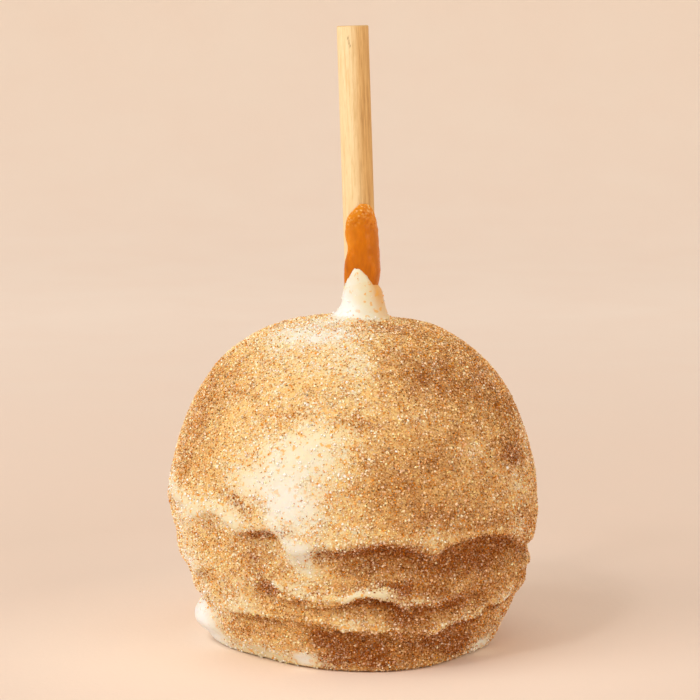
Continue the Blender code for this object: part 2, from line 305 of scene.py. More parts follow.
# %% Lights
def soft_box(name, place_at, size, power, colour):
    """A round area light, aimed at the apple. Its place and size are in m, its power in W."""
    light = bpy.data.lights.new(name, "AREA")
    light.shape = "DISK"
    light.size = size
    light.energy = power
    light.color = colour
    box = add_object(name, light)
    box.location = place_at
    aim = Vector((0, 0, 0.05)) - box.location
    box.rotation_euler = aim.to_track_quat("-Z", "Y").to_euler()
    box.visible_camera = False
    return box


key_light = soft_box("key_light", (-0.7, -0.46, 0.74), 0.9, 5.95, (1.0, 0.995, 0.965))
fill_light = soft_box("fill_light", (0.75, -0.55, 0.45), 0.9, 2.7, (1.0, 0.96, 0.91))
glint_light = soft_box("glint_light", (-0.45, -0.62, 0.85), 0.12, 1.0, (1.0, 0.99, 0.97))

world = bpy.data.worlds.new("warm_room")
world.use_nodes = True
sky = world.node_tree.nodes["Background"]
sky.inputs["Color"].default_value = (1.0, 0.9, 0.8, 1)
sky.inputs["Strength"].default_value = 0.69
bpy.context.scene.world = world
bpy.context.scene.view_settings.view_transform = "Standard"
print("lights:", key_light.name, fill_light.name, glint_light.name)

# %% [markdown]
# ## Where the stick runs
# The stick leans a little, and the collar and the caramel follow it. So its middle line is measured
# on its plain solid.

# %% Where the stick runs
STICK_RADIUS = 3.3 * MM


def stick_end(level):
    """The middle of the plain solid's points near that height."""
    points = np.array([v.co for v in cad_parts["stick"].data.vertices])
    return Vector((*points[np.abs(points[:, 2] - level) < 2 * MM, :2].mean(0), level))


STICK_FOOT, STICK_TIP = (stick_end(corner.z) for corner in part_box("stick"))


def stick_turn():
    """The rotation that leans an upright rod like the stick, and keeps its front in front."""
    up = (STICK_TIP - STICK_FOOT).normalized()
    right = Vector((0, 1, 0)).cross(up).normalized()
    return Matrix((right, up.cross(right), up)).transposed()


def stick_middle(heights):
    """The stick's middle, x and y, at each height."""
    share = (heights - STICK_FOOT.z) / (STICK_TIP.z - STICK_FOOT.z)
    return (STICK_FOOT.x + share * (STICK_TIP.x - STICK_FOOT.x),
            STICK_FOOT.y + share * (STICK_TIP.y - STICK_FOOT.y))


lean = (STICK_TIP - STICK_FOOT).angle(Vector((0, 0, 1)))
print("stick leans", round(math.degrees(lean), 2), "degrees")

# %% [markdown]
# ## Fine copies of the plain solids
# The plain solids have flat facets a few millimetres long. A sugared crust needs points every half
# millimetre, so the copy is smoothed, and then rebuilt on a fine even grid by a voxel remesh. The
# stick's hole in the coat is plugged first: the real coat grips the stick.

# %% Remesh
PLUG_RADIUS = 3.8 * MM  # a little wider than the hole
PLUG_BOTTOM = 60 * MM


def evaluated_mesh(obj):
    graph = bpy.context.evaluated_depsgraph_get()
    return bpy.data.meshes.new_from_object(obj.evaluated_get(graph))


def stick_plug(work, top):
    """Adds a rod that fills the coat's hole round the stick."""
    axis = STICK_TIP - STICK_FOOT
    middle = STICK_FOOT + axis * (((PLUG_BOTTOM + top) / 2 - STICK_FOOT.z) / axis.z)
    turned = stick_turn().to_4x4()
    turned.translation = middle
    bmesh.ops.create_cone(work, cap_ends=True, segments=64, radius1=PLUG_RADIUS,
                          radius2=PLUG_RADIUS, depth=top - PLUG_BOTTOM, matrix=turned)


def fine_copy(node, name, voxel, smoothing, plugged=False):
    """A copy of a plain solid, smoothed and rebuilt on a grid of that voxel size."""
    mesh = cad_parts[node].data.copy()
    work = bmesh.new()
    work.from_mesh(mesh)
    bmesh.ops.remove_doubles(work, verts=work.verts, dist=0.001 * MM)
    bmesh.ops.join_triangles(work, faces=work.faces, angle_face_threshold=math.pi,
                             angle_shape_threshold=math.pi)
    work.to_mesh(mesh)
    rough = add_object("rough_copy", mesh)
    smooth = rough.modifiers.new("smooth", "SUBSURF")
    smooth.levels = smooth.render_levels = smoothing
    work.clear()
    work.from_mesh(evaluated_mesh(rough))
    if plugged:
        stick_plug(work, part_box(node)[1].z)
    rough.modifiers.clear()
    work.to_mesh(mesh)
    work.free()
    remesh = rough.modifiers.new("fine", "REMESH")
    remesh.mode = "VOXEL"
    remesh.voxel_size = voxel
    fine = evaluated_mesh(rough)
    fine.name = name
    bpy.data.objects.remove(rough)
    print(name, len(fine.vertices), "points,", len(fine.polygons), "faces")
    return fine


coat_mesh = fine_copy("coated_apple", "sugared_coat", 0.55 * MM, 1, plugged=True)

# %% [markdown]
# ## Sculpting with arrays
# From here the coat's points are NumPy arrays, so each step of sculpting is one line of arithmetic on
# all of them. `spread` averages every point with its neighbours: on positions it smooths the shape,
# and on a mask it softens its edges. The difference between the shape and a heavily smoothed copy
# says where the coat has ridges and where it has hollows.

# %% Arrays and smoothing
def read_rows(items, name, width, kind=float):
    """An array with one row of numbers for each point, edge or triangle of a mesh."""
    values = np.empty(len(items) * width, kind)
    items.foreach_get(name, values)
    return values.reshape(-1, width)


def read_points(mesh):
    return read_rows(mesh.vertices, "co", 3)


def write_points(mesh, points):
    mesh.vertices.foreach_set("co", points.ravel())
    mesh.update()


def read_normals(mesh):
    return read_rows(mesh.vertex_normals, "vector", 3)


def read_edges(mesh):
    return read_rows(mesh.edges, "vertices", 2, np.int32)


def spread(values, edges, times, share=0.5):
    """Moves each value part of the way to its neighbours' average, again and again."""
    columns = values.reshape(len(values), -1).copy()
    ends, others = np.concatenate([edges, edges[:, ::-1]]).T
    count = np.bincount(ends, minlength=len(columns))
    for _ in range(times):
        for i in range(columns.shape[1]):
            mean = np.bincount(ends, columns[others, i], len(columns)) / count
            columns[:, i] += share * (mean - columns[:, i])
    return columns.reshape(values.shape)


def ramp(values, low, high):
    """0 below low, 1 above high, with an easy S between. Low above high turns it round."""
    share = np.clip((values - low) / (high - low), 0, 1)
    return share * share * (3 - 2 * share)


def cloud(points, size, seed, octaves=1):
    """Soft noise from about -1 to 1, with blotches of that size."""
    shift = Vector((seed * 7.31, seed * 3.17, seed * 5.93))
    return np.array([noise.fractal(Vector(p) + shift, 0.8, 2.1, octaves) for p in points / size])


def keep_values(mesh, name, values):
    """Stores a value on each point, for the finish to read."""
    attribute = mesh.attributes.new(name, "FLOAT", "POINT")
    attribute.data.foreach_set("value", values.astype(np.float32))


def new_piece(mesh, node, finish, stands_in=True):
    """Puts a finished mesh in the scene, in the place of its plain solid or on top of it."""
    mesh.materials.clear()
    mesh.materials.append(finish)
    piece = add_object(mesh.name, mesh)
    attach(piece, "root")
    if stands_in:
        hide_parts(node)
    print(piece.name, "is finished")


edges = read_edges(coat_mesh)
points = spread(read_points(coat_mesh), edges, 5)
write_points(coat_mesh, points)
normals = read_normals(coat_mesh)
body = spread(points, edges, 120)
relief = spread(((points - body) * normals).sum(1), edges, 2) / MM
print("relief in mm:", np.percentile(relief, (1, 25, 50, 75, 99)).round(2))

# %% [markdown]
# ## Where the coat is bare, and where it is brown
# The sugar didn't stick evenly. Where the chocolate had set, it stayed bare and creamy, or white
# where it is thick, and where cinnamon gathered, it is brown. Some brown ovals are painted shade, in
# the hollows under the lip and the folds. All three are painted as soft tilted ovals on the apple, by
# azimuth and height. Azimuth 0 is the front and 90 is the right.

# %% Patches
# azimuth, height in mm, half width and half height in mm, tilt in degrees, strength
BARE_PATCHES = (
    (-19, 37, 9, 8, 0, 0.95),  # the big creamy patch on the front
    (-14, 46, 8.5, 4.8, 10, 0.8), (-33, 39.5, 7, 3.2, -10, 0.75), (-9, 50.5, 5, 3.2, 20, 0.45),
    (-7, 40.5, 5, 4.5, 0, 0.4), (-27, 46, 7, 3.2, 0, 0.4), (-17, 32, 8, 3, 0, 0.5),
    (2, 31, 6.5, 2.2, 0, 0.35),
    (-25, 67, 13, 2.6, 2, 0.5),  # below the collar
    (-56, 66.5, 9, 2.5, 0, 0.5), (-3, 66, 5, 3, 0, 0.3), (-16, 61.5, 14, 3.8, 0, 0.6),
    (2, 61, 5, 3, 0, 0.2), (-9, 55, 5, 2.4, 0, 0.35), (-28, 55, 6, 2.4, 0, 0.25),
    (6, 56, 4.5, 4, 0, 0.3), (-42, 70, 5, 2, 0, 0.4), (-45, 50, 9, 8, 0, 0.15),
    (22, 52, 6, 2.6, 0, 0.4), (44, 45, 6, 2.8, 0, 0.55), (32, 35.5, 5, 2.4, 0, 0.25),
    (70, 10, 4, 2, 0, 0.4), (60, 58, 5, 2.5, 0, 0.15), (61, 36, 8, 5, 0, 0.7), (80, 45, 6, 9, 0, 0.45),
    (24, 28.8, 3, 2.6, 0, 0.8),  # the pale rim of the lip
    (33, 30, 3.5, 1.2, 25, 0.25), (46, 31, 6, 1.1, 0, 0.12), (60, 28.6, 4.5, 1.6, -25, 0.7),
    (12, 29.2, 6, 1, -8, 0.25), (-71, 33.4, 10, 2.4, -10, 1.3), (60, 13.4, 6, 1.2, 20, 0.1),
    (41, 10.6, 6, 1.2, 10, 0.25), (-80, 36, 4, 4, 0, 0.5), (-48, 34, 5.5, 2, 0, 1),
    (-40, 31, 3.5, 1.8, 0, 1.1), (-60, 30.8, 4, 2.4, 0, 0.7), (-74, 27, 7, 7, 0, 0.6),
    (-39, 18.5, 4.5, 2, 0, 0.4),
    (-16, 25.5, 4, 2.4, 10, 1),  # the long drip
    (-14, 21.8, 3.8, 2, -20, 0.8),
    (-19, 18.6, 4, 1.4, -10, 0.5),  # between the folds
    (1, 17.2, 5, 1, 12, 0.35), (5, 22, 4, 1.6, 0, 0.25), (21, 15.4, 3, 1.2, 0, 0.5),
    (2, 11.5, 6, 2, 0, 0.4), (-40, 14.5, 4, 2.6, -30, 0.5), (-66, 19.5, 7, 5.5, 20, 0.7),
    (-58, 12, 6, 3, 0, 0.5), (-46, 2.4, 8, 2.2, 5, 0.9), (-69, 6.5, 4, 3, 0, 0.7),
    (83, 5, 5, 3, 0, 0.5), (-34, 1.6, 9, 1.6, 0, 0.6), (70, 6.5, 6, 2.6, 0, 0.45),
    (70, 26, 4, 2.6, 0, 0.4), (-45, 26, 6, 2.6, 0, 0.3), (-5, 70.5, 9, 2, 0, 0.2),
    (-52, 10, 4, 2, 0, 0.4),
    (-20, 2.4, 3, 1.6, 0, 1.3),  # smooth drips at the foot
    (-84, 4.6, 8, 4.6, 0, 2.6), (-112, 3.4, 8, 3.4, 0, 1.6), (62, 2, 4.5, 2, 0, 1.3),
    (148, 2.2, 8, 2.2, 0, 1.4),
    (170, 44, 10, 7, 25, 0.9),  # the back
    (-145, 56, 8, 5, -20, 0.7), (120, 38, 6, 7, 10, 0.6), (-172, 31.5, 12, 1.8, 5, 0.7),
    (-140, 30, 6, 2, -10, 0.7), (105, 29.5, 8, 1.8, 8, 0.6), (-125, 64, 9, 3, 10, 0.4),
    (160, 14.5, 7, 1.6, -10, 0.6), (-158, 20.5, 6, 1.8, 10, 0.5), (-110, 40, 5, 6, 0, 0.5),
)
WHITE_PATCHES = (
    (-20, 36, 10, 8, 0, 0.65), (-16, 25.5, 4, 3, 10, 0.5), (-80, 24, 9, 7, 0, 0.8),
    (-76, 16, 9, 6, 0, 0.6), (-44, 19, 7, 5, 0, 0.35), (-75, 67, 9, 5, 0, 0.4), (-8, 70, 7, 3, 0, 0.4),
    (70, 6.5, 6, 2.6, 0, 0.4), (-20, 66, 16, 3, 0, 0.5), (60, 13.4, 6, 2, 20, 0.3),
    (-20, 2.4, 3, 2, 0, 0.9), (-82, 4.6, 9, 5, 0, 1.6), (83, 42, 5, 12, 0, 0.35),
    (-112, 3.4, 9, 4, 0, 0.8), (62, 2, 5, 2.5, 0, 0.6), (148, 2.2, 9, 3, 0, 0.8),
)
# brown is cinnamon, and in the hollows under the lip and the folds it is also painted shade
BROWN_AND_SHADE_PATCHES = (
    (-20, 53.3, 3.4, 1.3, 15, 0.45),  # the arc over the creamy patch
    (-8, 56.3, 4, 0.9, 5, 0.15), (-47, 55.5, 2.6, 1.5, 0, 0.35), (-68, 55, 6, 6, 0, 0.3),
    (-69, 43, 7, 7, 0, 0.3), (-37, 35.2, 4, 1.8, -25, 0.9),
    (33, 60.5, 6, 4.2, -10, 0.32),  # the brown shoulder on the right
    (23, 63.5, 4, 3, -10, 0.12), (42, 57, 7, 3.5, -15, 0.22), (64, 56, 10, 8, 0, 0.32),
    (42, 70, 7, 2.2, 0, 0.5), (74, 46, 6, 7, 0, 0.18), (28, 44, 4, 2.6, -20, 0.2),
    (61, 42.6, 4.2, 2.6, 0, 0.75), (15, 40, 7, 8, 0, 0.18), (40, 33.5, 9, 2.4, 0, 0.12),
    (24, 33, 5, 1.4, 0, 0.25), (3, 52, 2.4, 1.8, 0, 0.35), (4, 44.5, 3, 3, 0, 0.3),
    # from here, the dark crescents under the lip and the hollows under the folds are painted shade as
    # well as cinnamon
    (-50, 28.8, 4, 1.8, 0, 0.45),  # hollows under the lip
    (-28, 29.2, 6.5, 1.1, 10, 1), (-19, 29.8, 2.5, 0.9, -10, 0.5), (-33, 24.5, 6, 2.6, 0, 0.35),
    (-28.5, 17.4, 2.4, 2.2, 0, 1), (-2, 26.2, 7, 1.2, 8, 0.9), (13, 26.4, 5, 1.4, -8, 0.9),
    (8, 23.2, 8, 2, 0, 0.25), (11, 18.4, 5, 1.4, 5, 0.8), (-15, 17.4, 5, 1.6, 0, 0.3),
    (40, 30, 6, 1.2, 0, 0.3), (63, 30.5, 7, 1.4, 0, 0.25), (-16, 26.5, 1.8, 1.6, 0, 0.2),
    (30, 22.4, 4, 2, 0, 0.2), (30, 71, 7, 2, 0, 0.35), (45, 23.6, 14, 5, 0, 0.56),
    (10, 27.4, 8, 1.4, 0, 0.4), (12, 17, 5, 2, 0, 0.5), (17, 12, 3, 2.8, 0, 0.6),
    (33, 14.4, 7, 2.6, 0, 0.5), (-27, 10.2, 6, 1.2, -5, 0.2), (-10, 7.2, 4, 2.2, -20, 1.1),
    (-9, 2, 3, 1.6, 0, 0.8), (12, 2, 6, 1.6, 0, 0.6), (44, 2.4, 6, 1.8, 0, 0.5),
    (40, 9.4, 5, 1.2, 10, 0.3), (-44, 7, 6, 1.6, 0, 0.3), (-64, 1.4, 4, 1.2, 0, 0.25),
    (-30, 21, 3, 4, 0, 0.25), (4, 5, 6, 2.4, 0, 0.7), (-6, 2.4, 4, 1.6, 0, 0.8),
    (36, 5.8, 7, 2, 0, 0.65), (22, 5, 6, 1.6, 0, 0.1),
    (-140, 36, 12, 8, 10, 0.5),  # the back
    (150, 60, 10, 5, -10, 0.5), (100, 50, 8, 6, 0, 0.4),
)
print("patches:", len(BARE_PATCHES), "bare,", len(WHITE_PATCHES), "white,", len(BROWN_AND_SHADE_PATCHES), "brown")

# %% [markdown]
# ## Lumps and folds
# The chocolate ran down as it set. A lump is one more soft oval, which stands out or is sunk. A fold
# is an arched line between two places: above it the coat swells, and under it there is a hollow.

# %% Lumps and folds
# as the patches, and the last value is how far the coat stands out there, in mm
LUMPS = (
    (-16, 24.5, 4, 2, 10, 0.4),
    (-86, 5.4, 9, 2.2, 0, 1.2),  # the white drip at the foot, and the waist above it
    (-90, 9.6, 13, 1.7, 0, -1.7), (-61, 5.5, 1.2, 4.5, 0, -0.6), (-82, 15, 11, 2.2, 0, -0.7),
    (-80, 24, 10, 2.6, 0, -0.5), (-28.5, 17.2, 2.4, 2, 0, -0.9), (17, 11, 2.2, 2, 0, -0.5),
    (45, 22.8, 12, 3.6, 0, -0.5), (8, 23.2, 8, 2.6, 0, -0.4), (-50, 27.6, 4.5, 2.2, 0, -0.5),
    (-33, 26.2, 6, 2, 10, -0.4), (-42, 13.5, 4, 2.6, -30, 0.5), (27, 19.5, 7, 2, 10, 0.4),
    (52, 17.5, 6, 2.2, -10, 0.5), (-150, 22.5, 12, 2.6, 0, -0.5), (120, 21.5, 12, 2.6, 0, -0.5),
)
# folds of thick chocolate: azimuth and height at both ends, rise of the arch between, depth in mm
FOLDS = (
    (-28, 18.8, -2, 16.2, -1.4, 0.6), (-3, 15.4, 20, 12.2, 3.2, 0.9), (19, 14.6, 38, 15.8, -1, 0.4),
    (-7, 9.4, 19, 8.8, 0.3, 0.6), (22, 8, 68, 13.6, -0.5, 0.8), (-52, 10.6, -26, 10.8, 0.9, 0.6),
    (-66, 17, -50, 20, 0.6, 0.4), (100, 13, 140, 10, 1.5, 0.7), (150, 9, 185, 13.5, 1, 0.8),
    (-165, 12, -128, 9, 1.2, 0.7), (-122, 16, -96, 12, 1, 0.6), (75, 17.5, 112, 19, 1, 0.5),
    (188, 18.5, 225, 16, 1.5, 0.8),
)
print("relief:", len(LUMPS), "lumps,", len(FOLDS), "folds")

# %% [markdown]
# ## Painting on the points
# These functions turn the tables into one value for each point. An oval fades like a bell curve, and
# a fold's line wobbles a little, as nothing in food is drawn with a ruler.

# %% Painting functions
def round_the_stick(points):
    """Azimuth in degrees, height and distance in mm from the stick's middle, and the middle."""
    middle_x, middle_y = stick_middle(points[:, 2])
    x, y = points[:, 0] - middle_x, points[:, 1] - middle_y
    return np.degrees(np.arctan2(x, -y)), points[:, 2] / MM, np.hypot(x, y) / MM, middle_x, middle_y


def azimuth_of(points):
    return np.degrees(np.arctan2(points[:, 0], -points[:, 1]))


def painted(points, patches, softness=1.0):
    """The sum of soft tilted ovals at each point. Below 1, softness widens their edges."""
    azimuth = azimuth_of(points)
    reach = np.hypot(points[:, 0], points[:, 1]) / MM
    total = np.zeros(len(points))
    for middle, level, half_width, half_height, tilt, strength in patches:
        across = np.radians((azimuth - middle + 180) % 360 - 180) * reach
        rise = points[:, 2] / MM - level
        c, s = math.cos(math.radians(tilt)), math.sin(math.radians(tilt))
        u = (across * c + rise * s) / half_width
        v = (rise * c - across * s) / half_height
        total += strength * np.exp(-(u * u + v * v) ** softness)
    return total


def edge_of_folds(points, folds):
    """1 just above a fold's edge and fading upwards, and below 0 in the hollow under it."""
    azimuth = azimuth_of(points)
    wobble = 0.6 * cloud(points * (1, 1, 0.3), 4 * MM, 11, 2)
    total = np.zeros(len(points))
    for start, low, end, high, arch, depth in folds:
        share = ((azimuth - start + 90) % 360 - 90) / (end - start)
        line = low + share * (high - low) + 4 * arch * share * (1 - share)
        over = points[:, 2] / MM - line + wobble
        out = ramp(over, -0.5, 0.3)
        strength = depth * (1 + wobble) * ramp(share, -0.12, 0.15) * ramp(share, 1.12, 0.85)
        total += strength * out * np.exp(-(np.maximum(over, 0) / 2.2) ** 2)
        total -= 0.6 * strength * (1 - out) * np.exp(-(np.minimum(over, 0) / 2.0) ** 2)
    return total


# %% [markdown]
# ## The masks
# Noise frays the edges of the ovals. Ridges were wiped bare, and hollows are browner, partly from the
# cinnamon they kept and partly as painted shade, so the relief and the folds count too. The right side,
# away from the key light, gets painted shade too, and the collar's left side painted light. The result
# is three masks from 0 to 1.

# %% Masks for sugar, cinnamon and whiteness
around_stick, height, from_stick, middle_x, middle_y = round_the_stick(points)
on_collar = ramp(from_stick, 7.5, 5.2) * ramp(height, 69.5, 71.0)
in_folds = ramp(height, 34, 30)
ridge = ramp(relief, 0.15, 0.8) * in_folds
hollow = ramp(relief, -0.15, -0.9) * in_folds

folds = edge_of_folds(points, FOLDS)
fray = 0.24 * cloud(points, 6 * MM, 1, 3) + 0.14 * cloud(points, 1.4 * MM, 2, 2)
# shade_side is the right side, away from the key light: there the sugar is thicker and the dust browner,
# as painted shade
shade_side = ramp(points[:, 0], -22 * MM, 22 * MM)
# in hollows and under the folds the coat is less bare: partly sugar kept there, partly painted shade
bare = painted(points, BARE_PATCHES, 0.75) + fray + 0.3 * ridge - 0.3 * hollow
bare += 0.9 * np.maximum(folds, 0) + 0.6 * np.minimum(folds, 0) + 1.6 * on_collar
sugar = 1 - np.clip((bare + 0.22 - 0.2 * shade_side) / 1.35, 0, 1)

right_half = ramp(points[:, 0], -14 * MM, 4 * MM)
browning_and_shade = 0.08 + 0.16 * cloud(points, 9 * MM, 3, 3) + 0.22 * cloud(points, 2.6 * MM, 4, 3)
# browner in hollows and under the folds: partly cinnamon, partly painted shade
browning_and_shade += painted(points, BROWN_AND_SHADE_PATCHES) + 0.35 * hollow - 0.2 * ridge - 1.2 * np.minimum(folds, 0)
# browner on the shaded right side and low on the skirt under the lip: partly cinnamon, partly painted
# shade
browning_and_shade += 0.2 * shade_side + ramp(height, 29, 24) * (0.06 + 0.16 * right_half)
browning_and_shade -= 0.6 * ramp(from_stick, 10.5, 7.5) * ramp(height, 58, 63)  # pale round the collar
cinnamon = np.clip(browning_and_shade, 0, 1)
whiteness_and_light = painted(points, WHITE_PATCHES)
# painted light: the collar is whiter on its left, the side towards the key light
whiteness_and_light += 0.85 * on_collar * ramp(points[:, 0], 3 * MM, -3 * MM)
whiteness_and_light = np.clip(whiteness_and_light, 0, 1)
print("mean sugar:", round(float(sugar.mean()), 2), "mean cinnamon:", round(float(cinnamon.mean()), 2))

# %% [markdown]
# ## The crust's relief
# The coat is sunk by the height of half a crystal, because the crystals scattered later stand on it.
# Then slow waves and small crumbs move its points, the crumbs only where there is sugar. At the
# collar the coat thins to nothing against the stick, so its points are pulled in towards the wood
# above the collar's edge.

# %% Crust relief
SINK, WAVE_DEPTH, FOLD_DEPTH = 0.2 * MM, 0.1 * MM, 0.3 * MM
CRUMB_DEPTH, SPECK_DEPTH = 0.07 * MM, 0.05 * MM
COLLAR_FEATHER = 1.8  # mm over which the collar's edge thins out
# the collar's edge on the stick: azimuth, height in mm
COLLAR_EDGE = ((-100, 75), (-70, 76.2), (-48, 78.2), (-30, 79), (-18, 79.5), (-6, 79.2), (6, 78.9),
               (18, 78.6), (30, 77.5), (45, 76.3), (75, 75.9), (110, 76), (150, 76.8), (175, 75.8),
               (200, 76.6), (230, 75.4))


def round_table(table, azimuth):
    """A smooth closed curve through (azimuth, value) rows, at each azimuth."""
    steps = np.array(table + ((table[0][0] + 360, table[0][1]),), float)
    turned = steps[0, 0] + (azimuth - steps[0, 0]) % 360
    i = np.clip(np.searchsorted(steps[:, 0], turned, "right") - 1, 0, len(steps) - 2)
    share = ramp((turned - steps[i, 0]) / (steps[i + 1, 0] - steps[i, 0]), 0, 1)
    return steps[i, 1] * (1 - share) + steps[i + 1, 1] * share


rise = WAVE_DEPTH * cloud(points, 6 * MM, 5, 2) - SINK * ramp(from_stick, 5, 9)
rise += MM * (painted(points, LUMPS) + folds) + FOLD_DEPTH * in_folds * cloud(points, 4.5 * MM, 9, 2)
rise += sugar * (CRUMB_DEPTH * cloud(points, 1.5 * MM, 6, 2) + SPECK_DEPTH * cloud(points, 0.7 * MM, 7))
rise *= ramp(height, 0.3, 2.0)
shaped = points + normals * rise[:, None]
# round the collar's foot the top dips, most on the right
dip = ramp(from_stick, 4.6, 6.0) * ramp(from_stick, 17.5, 8.0) * ramp(height, 62, 66)
shaped[:, 2] -= MM * dip * (0.6 + 1.0 * ramp(points[:, 0], -2 * MM, 5 * MM))

edge_height = round_table(COLLAR_EDGE, around_stick) + 0.15 * cloud(points, 1.2 * MM, 8)
above = height - edge_height
near = (height > 70) & (from_stick < 6)
thick_side = ramp(around_stick, 20, 60) * ramp(around_stick, 170, 120)
peak = ramp(np.abs(around_stick + 12), 30, 8)
least = np.where(above > -3.5, np.maximum(0.85 * thick_side, 0.55 * peak), 0)
thickness = np.maximum(from_stick - STICK_RADIUS / MM, least)
thickness *= ramp(above, 0.6, -COLLAR_FEATHER + 0.5 * thick_side + peak)
inside = (above > 0.6) | (from_stick < 3.2)
pulled = STICK_RADIUS / MM + np.where(inside, -0.5, thickness - 0.04)
keep = np.where(near, pulled / np.maximum(from_stick, 1e-3), 1.0)
shaped[:, 0] = middle_x + (shaped[:, 0] - middle_x) * keep
shaped[:, 1] = middle_y + (shaped[:, 1] - middle_y) * keep
shaped[:, 2] += 0.6 * MM * near * peak * ramp(above, -4.5, -0.5)
shaped[:, 2] = np.maximum(shaped[:, 2], np.where(height < 0.4, 0.0, 0.02 * MM))
write_points(coat_mesh, shaped)
coat_normals = read_normals(coat_mesh)

# a caramel stain below the caramel, drawn far down the collar's right side: partly a stain, partly
# painted shade on the shaded side
stain_and_shade = ramp(above, -9.0, -0.3) * near * ramp(np.abs(around_stick - 75), 65, 20)
for name, mask in (("sugar", sugar), ("cinnamon", cinnamon), ("caramel_stain_and_shade", stain_and_shade),
                   ("whiteness_and_light", whiteness_and_light)):
    keep_values(coat_mesh, name, mask)
coat_mesh.shade_smooth()
print("coat moved by up to", round(float(np.abs(shaped - points).max() / MM), 1), "mm")

# %% [markdown]
# ## The coat's finish
# White chocolate is creamy, softly glossy and lets a little light into itself, which is what
# subsurface scattering is for. Sugar and cinnamon lie on it as a fine powder between the bigger
# crystals. The masks made above drive the mixture. Each granule also draws a chance of its own, so
# a thin cover is not a paler colour but fewer granules, as it is with real sugar.

# %% Coat material
CHOCOLATE = (0.75, 0.74, 0.57)
DEEPER_CHOCOLATE = (0.77, 0.7, 0.46)
WHITEST_CHOCOLATE_AND_LIGHT = (0.83, 0.885, 0.9)
TINTED_CHOCOLATE = (0.8, 0.61, 0.28)
SUGAR_DUST = (0.85, 0.575, 0.23)
AMBER = (0.78, 0.32, 0.03)
CINNAMON_DUST = (0.33, 0.088, 0.003)
CARAMEL_STAIN_AND_SHADE = (0.72, 0.34, 0.07)


def make_coat_finish():
    finish, tree, shader = new_material("white_chocolate_and_cinnamon_sugar")
    grains = place(tree, "Group", {"node_tree": GRANULES}, Size=0.34)
    brown = sum_of(tree, "MULTIPLY_ADD", grains.outputs["Luck"], 0.5, -0.25)
    # browner where the cinnamon mask is high; that mask also holds painted shade
    brown = sum_of(tree, "ADD+", brown, painted_value(tree, "cinnamon"))
    warm = sum_of(tree, "MULTIPLY_ADD+", blotches(tree, 1.3, 3.0, contrast=3.0), 1.2, -0.6)
    dust = mix_colour(tree, warm, SUGAR_DUST, (0.84, 0.47, 0.14))
    dust = mix_colour(tree, brown, dust, CINNAMON_DUST)
    sugary = painted_value(tree, "sugar")
    # each granule has its own chance of being covered, and between them the chocolate is tinted
    covered = sum_of(tree, "SUBTRACT", sum_of(tree, "MULTIPLY", sugary, 1.6), grains.outputs["Chance"])
    cover = sum_of(tree, "DIVIDE+", covered, 0.6)
    creamy = mix_colour(tree, blotches(tree, 4.0, 3.0, contrast=1.8), CHOCOLATE, DEEPER_CHOCOLATE)
    # whiter where the white chocolate is thick, and on the collar's lit left side as painted light
    whiter_and_lit = painted_value(tree, "whiteness_and_light")
    creamy = mix_colour(tree, whiter_and_lit, creamy, WHITEST_CHOCOLATE_AND_LIGHT)
    # stained by caramel, and darker down the collar's right as painted shade
    creamy = mix_colour(tree, painted_value(tree, "caramel_stain_and_shade"), creamy, CARAMEL_STAIN_AND_SHADE)
    mottles = sum_of(tree, "MULTIPLY_ADD+", blotches(tree, 1.6, 3.0, contrast=3.2), 2.2, -0.1)
    least_tint = sum_of(tree, "MULTIPLY_ADD", whiter_and_lit, -0.18, 0.2)
    tinted = sum_of(tree, "MULTIPLY+", sum_of(tree, "MULTIPLY_ADD", sugary, 1.3, least_tint), mottles)
    creamy = mix_colour(tree, tinted, creamy, TINTED_CHOCOLATE)
    flecks = sum_of(tree, "MULTIPLY_ADD+", blotches(tree, 1.2, 2.0, contrast=3.4), 6.0, -5.0)
    shown = sum_of(tree, "MULTIPLY_ADD+", whiter_and_lit, -0.8, 0.9)
    creamy = mix_colour(tree, sum_of(tree, "MULTIPLY", flecks, shown), creamy, (0.8, 0.42, 0.09))
    rough = sum_of(tree, "MULTIPLY_ADD", cover, 0.2, 0.38)
    lumps = sum_of(tree, "MULTIPLY", grains.outputs["Height"], cover)
    dress(tree, shader, mix_colour(tree, cover, creamy, dust), rough, lumps, strength=0.7, depth=0.14,
          Specular_IOR_Level=0.25, Subsurface_Weight=0.2, Subsurface_Radius=(1.0, 0.6, 0.3),
          Subsurface_Scale=1.0 * MM)
    return finish


new_piece(coat_mesh, "coated_apple", make_coat_finish())

# %% [markdown]
# ## Sugar crystals
# Each crystal is a real little block at its true size, about a third of a millimetre, so that it
# catches the light on its own facets. Three small shapes are enough, because each grain is
# stretched and turned in its own way.

# %% Crystal shapes
# a sheared box, like a crystal of table sugar
box = np.array([(x, y, z) for x in (-1, 1) for y in (-1, 1) for z in (-1, 1)]) / 2
box[:, 0] += 0.25 * box[:, 2]
BLOCK = (box, np.array([(0, 1, 3, 2), (4, 6, 7, 5), (0, 4, 5, 1), (2, 3, 7, 6), (0, 2, 6, 4),
                        (1, 5, 7, 3)]))
# a double pyramid with a skewed waist, for broken crystals
pyramids = [(i, (i + 1) % 4, 4) for i in range(4)] + [((i + 1) % 4, i, 5) for i in range(4)]
CHIP = (np.array([(0.5, 0.1, 0.1), (0, 0.5, -0.1), (-0.5, -0.1, 0.1), (0, -0.5, -0.1),
                  (0.1, 0, 0.5), (-0.1, 0, -0.5)]), np.array(pyramids))
# a plain four-sided splinter, for the finest grains and specks
SPLINTER = (np.array([(1, 1, 1), (1, -1, -1), (-1, 1, -1), (-1, -1, 1)]) * 0.4,
            np.array([(0, 1, 2), (0, 3, 1), (0, 2, 3), (1, 3, 2)]))
print("faces:", [len(faces) for _, faces in (BLOCK, CHIP, SPLINTER)])


